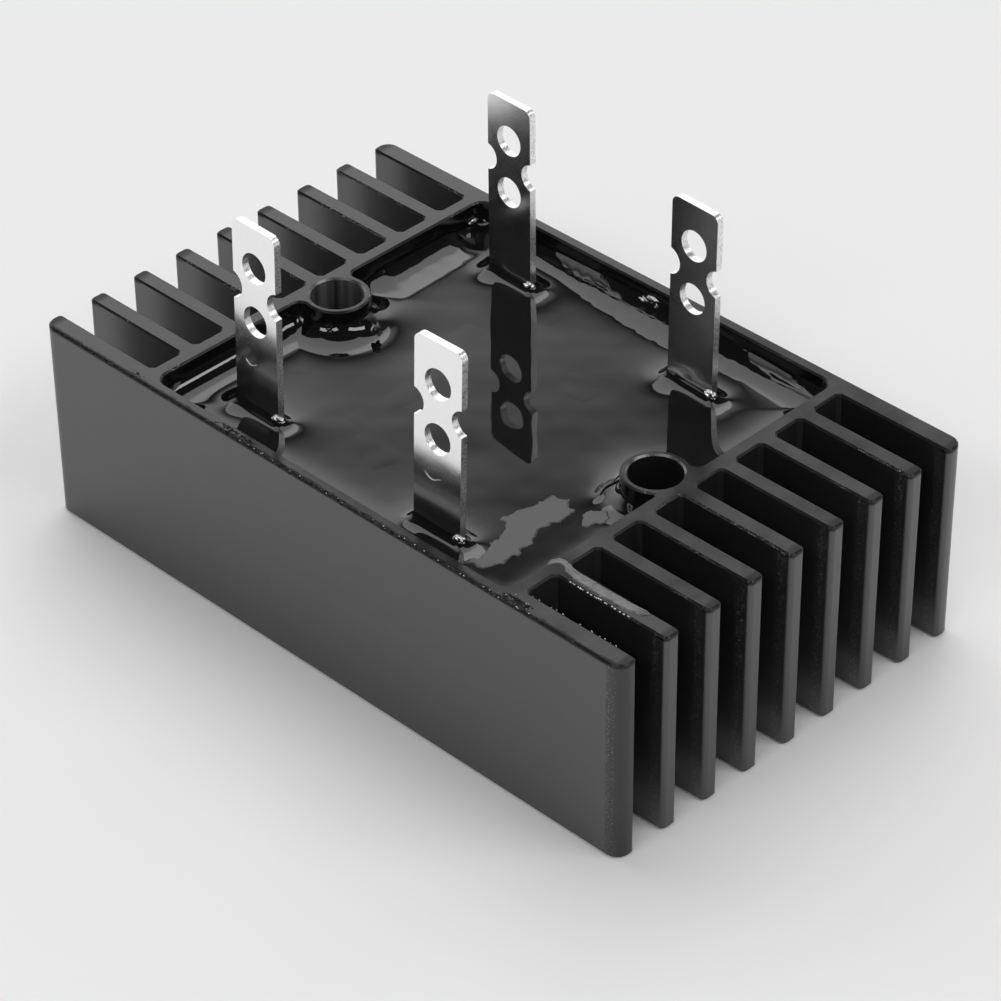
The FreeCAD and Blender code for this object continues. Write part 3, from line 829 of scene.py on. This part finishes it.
# The smear on the second fin: points of its middle line with its half width there
SMEAR = [(25.25, -18.2, 0.12), (25.3, -17.5, 0.30), (25.75, -16.95, 0.38), (26.7, -17.05, 0.34),
         (27.7, -17.45, 0.50), (29.4, -17.62, 0.62), (31.5, -17.68, 0.60), (33.6, -17.66, 0.64),
         (35.3, -17.55, 0.58), (36.7, -17.3, 0.40), (37.4, -17.15, 0.18)]


def wipe_smear(material):
    """A wiped run of resin: two raised borders with a hollow between them."""
    across = np.array([-1.0, -1.0, -0.86, -0.66, -0.42, -0.12, 0.18, 0.46, 0.70, 0.88, 1.0, 1.0])
    raised = np.array([-0.03, 0.0, 0.09, 0.17, 0.10, 0.045, 0.05, 0.13, 0.18, 0.09, 0.0, -0.03])
    line = smooth_path(SMEAR, 0.16)
    chance = np.random.default_rng(12)
    rings = []
    for k, (x, y, half) in enumerate(line):
        before, after = line[max(k - 1, 0)], line[min(k + 1, len(line) - 1)]
        along = np.array([after[0] - before[0], after[1] - before[1]])
        along /= np.linalg.norm(along)
        side = np.array([-along[1], along[0]])
        full = min(1.0, half / 0.3) * (1.0 + 0.25 * math.sin(1.9 * x) + 0.10 * chance.normal())
        ragged = half * (1.0 + 0.07 * chance.normal(0, 1, len(across)))
        places = np.array([x, y]) + np.outer(across * ragged, side)
        lifts = [up * full if up > 0 else up for up in raised]
        rings.append([(*place, RIM + lift) for place, lift in zip(places, lifts)])
    piece = outward(new_piece("resin_smear", *closed_sweep(rings), material))
    return piece


# Blisters, flakes and pale lumps as painted highlights on the wetted walls: place and the three half
# sizes
BLISTERS = [
    (-17.35, 0.15, 21.9, 0.35, 0.45, 0.40),
    (-17.2, 0.35, 21.3, 0.25, 0.30, 0.25),
    (0.9, 23.5, 21.5, 0.50, 0.22, 0.45),
    (-0.2, 23.5, 21.3, 0.55, 0.25, 0.40),
    (0.2, 23.5, 22.1, 0.45, 0.20, 0.35),
]
FLAKES_AND_HIGHLIGHTS = [
    (-0.85, 23.42, 22.0, 0.55, 0.22, 0.28),
    (0.35, 23.42, 22.65, 0.80, 0.22, 0.24),
    (0.95, 23.42, 21.9, 0.22, 0.20, 0.40),
    (-0.45, 23.40, 21.5, 0.30, 0.22, 0.24),
    (1.0, 23.42, 21.1, 0.28, 0.20, 0.20),
    # Painted highlights: these two pale metal lumps by the back left corner stand in for highlights on
    # resin drips
    (-24.92, 22.1, 21.7, 0.18, 0.62, 0.26),
    (-24.5, 23.42, 21.4, 0.24, 0.18, 0.22),
]


def add_lumps(name, lumps, seed, material):
    """Small closed lumps of uneven shape, set against what carries them."""
    chance = np.random.default_rng(seed)
    shell = bmesh.new()
    for *centre, half_x, half_y, half_z in lumps:
        halves = Vector((half_x, half_y, half_z))
        ball = bmesh.ops.create_icosphere(shell, subdivisions=3, radius=1.0)["verts"]
        turns = chance.uniform(1.5, 4.0, (4, 3))
        phases = chance.uniform(0.0, 6.28, 4)
        for vertex in ball:
            uneven = 1.0 + 0.13 * sum(math.sin(turn @ np.array(vertex.co) + phase)
                                      for turn, phase in zip(turns, phases))
            vertex.co = (Vector(centre) + vertex.co * halves * uneven) * MM
    return piece_from_shell(name, shell, material)


CRUMB_INPUTS = [
    ("Path", "Geometry"), ("Count", "Int"), ("Spread", "Vector"), ("Smallest", "Vector"),
    ("Largest", "Vector"), ("Unevenness", "Float"), ("Seed", "Int"), ("Material", "Material"),
]
CRUMB_TURNS = (6.28, 0.4, 0.4)
CRUMB_NOISE_SCALE = 7000.0


def crumb_tree():
    """Geometry nodes: uneven crumbs scattered along a path."""
    tree = bpy.data.node_groups.new("crumbs_along_an_edge", "GeometryNodeTree")
    for name, kind in CRUMB_INPUTS:
        tree.interface.new_socket(name, in_out="INPUT", socket_type=f"NodeSocket{kind}")
    tree.interface.new_socket("Crumbs", in_out="OUTPUT", socket_type="NodeSocketGeometry")
    given = tree.nodes.new("NodeGroupInput").outputs

    def add(kind, **inputs):
        """A node with its inputs linked or set."""
        node = tree.nodes.new(kind)
        for name, value in inputs.items():
            feed(tree, node.inputs[name.replace("_", " ")], value)
        return node

    def vector_math(operation, vector, name, value):
        """A vector scaled, or less another."""
        node = tree.nodes.new("ShaderNodeVectorMath")
        node.operation = operation
        feed(tree, node.inputs[0], vector)
        feed(tree, node.inputs[name], value)
        return node.outputs[0]

    def chance(low, high, step):
        """A random vector for each point, between two others. The step keeps draws apart."""
        seed = tree.nodes.new("ShaderNodeMath")
        feed(tree, seed.inputs[0], given["Seed"])
        feed(tree, seed.inputs[1], step)
        node = tree.nodes.new("FunctionNodeRandomValue")
        node.data_type = "FLOAT_VECTOR"
        feed(tree, node.inputs[0], low)
        feed(tree, node.inputs[1], high)
        feed(tree, node.inputs["Seed"], seed.outputs[0])
        return node.outputs[0]

    back = vector_math("SCALE", given["Spread"], "Scale", -1.0)
    curve = add("GeometryNodeMeshToCurve", Mesh=given["Path"])
    points = add("GeometryNodeCurveToPoints", Curve=curve.outputs[0], Count=given["Count"])
    moved = add("GeometryNodeSetPosition", Geometry=points.outputs["Points"],
                Offset=chance(back, given["Spread"], 0))
    grain = add("GeometryNodeMeshIcoSphere", Radius=1.0, Subdivisions=2)
    placed = add("GeometryNodeInstanceOnPoints", Points=moved.outputs[0], Instance=grain.outputs["Mesh"],
                 Rotation=chance((0.0, 0.0, 0.0), CRUMB_TURNS, 100),
                 Scale=chance(given["Smallest"], given["Largest"], 200))
    real = add("GeometryNodeRealizeInstances", Geometry=placed.outputs[0])
    noise = add("ShaderNodeTexNoise", Scale=CRUMB_NOISE_SCALE, Detail=1.0)
    middle = vector_math("SUBTRACT", noise.outputs["Color"], 1, (0.5, 0.5, 0.5))
    shift = vector_math("SCALE", middle, "Scale", given["Unevenness"])
    uneven = add("GeometryNodeSetPosition", Geometry=real.outputs[0], Offset=shift)
    coated = add("GeometryNodeSetMaterial", Geometry=uneven.outputs[0], Material=given["Material"])
    out = tree.nodes.new("NodeGroupOutput")
    tree.links.new(coated.outputs[0], out.inputs["Crumbs"])
    return tree


def scatter_crumbs(name, tree, runs, material):
    """Crumbs along straight runs, joined into one piece."""
    shell = bmesh.new()
    for start, end, count, spread, smallest, largest, seed in runs:
        mesh = bpy.data.meshes.new("run")
        mesh.from_pydata([Vector(start) * MM, Vector(end) * MM], [(0, 1)], [])
        guide = bpy.data.objects.new("run", mesh)
        bpy.context.scene.collection.objects.link(guide)
        modifier = guide.modifiers.new("crumbs", "NODES")
        modifier.node_group = tree
        values = {
            "Count": count,
            "Spread": Vector(spread) * MM,
            "Smallest": Vector(smallest) * MM,
            "Largest": Vector(largest) * MM,
            "Unevenness": 0.9 * max(smallest) * MM,
            "Seed": seed,
            "Material": material,
        }
        for item in tree.interface.items_tree:
            if item.in_out == "INPUT" and item.name in values:
                modifier[item.identifier] = values[item.name]
        made = guide.evaluated_get(bpy.context.evaluated_depsgraph_get())
        crumbs = bpy.data.meshes.new_from_object(made)
        shell.from_mesh(crumbs)
        bpy.data.objects.remove(guide)
    return piece_from_shell(name, shell, material)


EDGE_Y = -HALF_WIDTH + 0.09

# Runs of crumbs: start, end, count, spread, smallest and largest half sizes, and a seed
BURR_RUNS = [
    ((-40.0, EDGE_Y, RIM - 0.10), (-16.0, EDGE_Y, RIM - 0.10), 90, (0.5, 0.12, 0.04),
     (0.08, 0.07, 0.04), (0.34, 0.17, 0.08), 1),
    ((-16.0, EDGE_Y, RIM - 0.09), (8.0, EDGE_Y, RIM - 0.09), 190, (0.3, 0.17, 0.05),
     (0.10, 0.09, 0.05), (0.46, 0.22, 0.10), 2),
    ((8.0, EDGE_Y, RIM - 0.09), (31.0, EDGE_Y, RIM - 0.09), 150, (0.3, 0.15, 0.05),
     (0.09, 0.08, 0.05), (0.40, 0.20, 0.10), 3),
    ((31.0, EDGE_Y, RIM - 0.10), (40.0, EDGE_Y, RIM - 0.10), 20, (0.4, 0.08, 0.04),
     (0.05, 0.04, 0.03), (0.20, 0.10, 0.06), 4),
    ((25.6, -24.3, RIM - 0.02), (28.7, -24.2, RIM - 0.02), 60, (0.3, 0.32, 0.02),
     (0.06, 0.06, 0.03), (0.32, 0.18, 0.07), 5),
    ((-14.6, -24.2, RIM - 0.02), (-9.3, -24.5, RIM - 0.02), 50, (0.5, 0.24, 0.02),
     (0.06, 0.06, 0.03), (0.36, 0.16, 0.07), 6),
    ((-27.8, -24.3, RIM - 0.02), (-26.2, -24.3, RIM - 0.02), 14, (0.3, 0.20, 0.02),
     (0.05, 0.04, 0.03), (0.20, 0.12, 0.06), 7),
]
SPECK_RUNS = [
    ((28.6, -18.62, RIM - 0.05), (36.4, -18.62, RIM - 0.05), 26, (0.20, 0.05, 0.03),
     (0.04, 0.04, 0.04), (0.15, 0.10, 0.08), 11),
    ((-12.0, EDGE_Y, RIM), (30.0, EDGE_Y, RIM), 40, (1.2, 0.12, 0.05),
     (0.03, 0.03, 0.03), (0.09, 0.06, 0.05), 12),
    ((25.4, -23.9, RIM), (28.7, -24.2, RIM), 8, (0.4, 0.4, 0.0),
     (0.03, 0.03, 0.03), (0.07, 0.06, 0.05), 13),
    ((27.0, -22.6, RIM - 0.08), (38.5, -22.6, RIM - 0.08), 16, (1.0, 0.03, 0.04),
     (0.03, 0.03, 0.03), (0.08, 0.05, 0.05), 14),
]


def highlight_beads(material):
    """Bright tin beads where the resin meets the right-hand edge of each tab: painted highlights that
    stand in for the shine of the resin's collars at those corners.
    """
    beads = []
    for tab in TABS:
        x, y = max(node_outline(tab, RESIN_LEVEL + 0.75), key=lambda point: point[0] - point[1])
        beads += [(x - 0.48, y - 0.16, RESIN_LEVEL + 0.95, 0.36, 0.22, 0.25),
                  (x + 0.14, y + 0.28, RESIN_LEVEL + 0.90, 0.22, 0.28, 0.22)]
    return add_lumps("highlight_beads", beads, 15, material)


# Half the width of a nick, and of the loose thread, with the thread's height over the resin
MARK_RADIUS = 0.045
THREAD_RADIUS, THREAD_LIFT = 0.12, 0.07


def tool_mark(name, tab, left, right, high, drop, material):
    """A small curved nick from a gripping tool on the front of a tab."""
    mesh = nodes[tab].data
    tree = BVHTree.FromPolygons([vertex.co / MM for vertex in mesh.vertices],
                                [polygon.vertices for polygon in mesh.polygons])
    path = []
    for t in np.linspace(0.0, 1.0, 9):
        x = left + (right - left) * t
        z = high - drop * math.sin(math.pi * min(1.0, t * 1.08)) - 0.12 * t
        place = tree.ray_cast(Vector((x, -2 * HALF_WIDTH, z)), Vector((0.0, 1.0, 0.0)))[0]
        path.append((x, place.y, z))
    return thread_along(name, path, MARK_RADIUS, material)


# The scene

place_camera()
light_studio()

# Each finish by its slot in the record
finishes = {
    "black_anodised": anodised_recipe(),
    "plain_aluminium": plain_recipe("milled_aluminium", 1.0, 0.50, 0.66, 0.32, 1500.0, 0.004),
    "bond": plain_recipe("grey_bond", 0.0, 0.50, 0.62, 0.60, 2600.0, 0.010),
    "ceramic": plain_recipe("white_ceramic", 0.0, 0.72, 0.82, 0.45, 2000.0, 0.003),
    "copper": plain_recipe("rolled_copper", 1.0, (0.60, 0.27, 0.15), (0.78, 0.40, 0.25), 0.28,
                           900.0, 0.004),
    "silicon": plain_recipe("lapped_silicon", 0.3, (0.10, 0.11, 0.13), (0.17, 0.18, 0.21), 0.22,
                            3000.0, 0.001),
    "solder": plain_recipe("soft_solder", 1.0, 0.42, 0.60, 0.30, 1800.0, 0.008),
    "tinned_tab": tin_recipe(),
    "resin": resin_recipe(),
}
for part in frame["record"]["subparts"]:
    slots = nodes[part["node"]].data.materials
    slots.clear()
    slots.append(finishes[part["material_slot"]])

outlines = resin_outlines()
resin = pour_resin(finishes["resin"], outlines)
surface = BVHTree.FromObject(resin, bpy.context.evaluated_depsgraph_get())


def on_resin(x, y, lift):
    """A point just above the resin's surface."""
    place = surface.ray_cast(Vector((x * MM, y * MM, RIM * MM)), Vector((0.0, 0.0, -1.0)))[0]
    return (x, y, place.z / MM + lift)


thread_path = [on_resin(x, y, THREAD_LIFT) for x, y in THREAD]
thread_along("resin_thread", thread_path, THREAD_RADIUS, finishes["resin"])
wipe_smear(smear_recipe())
grow_skins(skin_recipe(), outlines)
add_lumps("resin_blisters", BLISTERS, 4, finishes["resin"])
add_lumps("bright_flakes_and_highlights", FLAKES_AND_HIGHLIGHTS, 9, finishes["plain_aluminium"])
highlight_beads(finishes["tinned_tab"])
crumbs = crumb_tree()
scatter_crumbs("saw_burr", crumbs, BURR_RUNS, burr_recipe())
specks = plain_recipe("bright_metal_specks", 0.2, 0.70, 0.85, 0.45, 3000.0, 0.001)
scatter_crumbs("bare_specks", crumbs, SPECK_RUNS, specks)
tool_mark("tool_mark_left", "terminal_ac_front", -18.1, -16.4, 26.6, 0.45, finishes["tinned_tab"])
tool_mark("tool_mark_right", "terminal_minus", 9.3, 11.4, 27.2, 0.50, finishes["tinned_tab"])
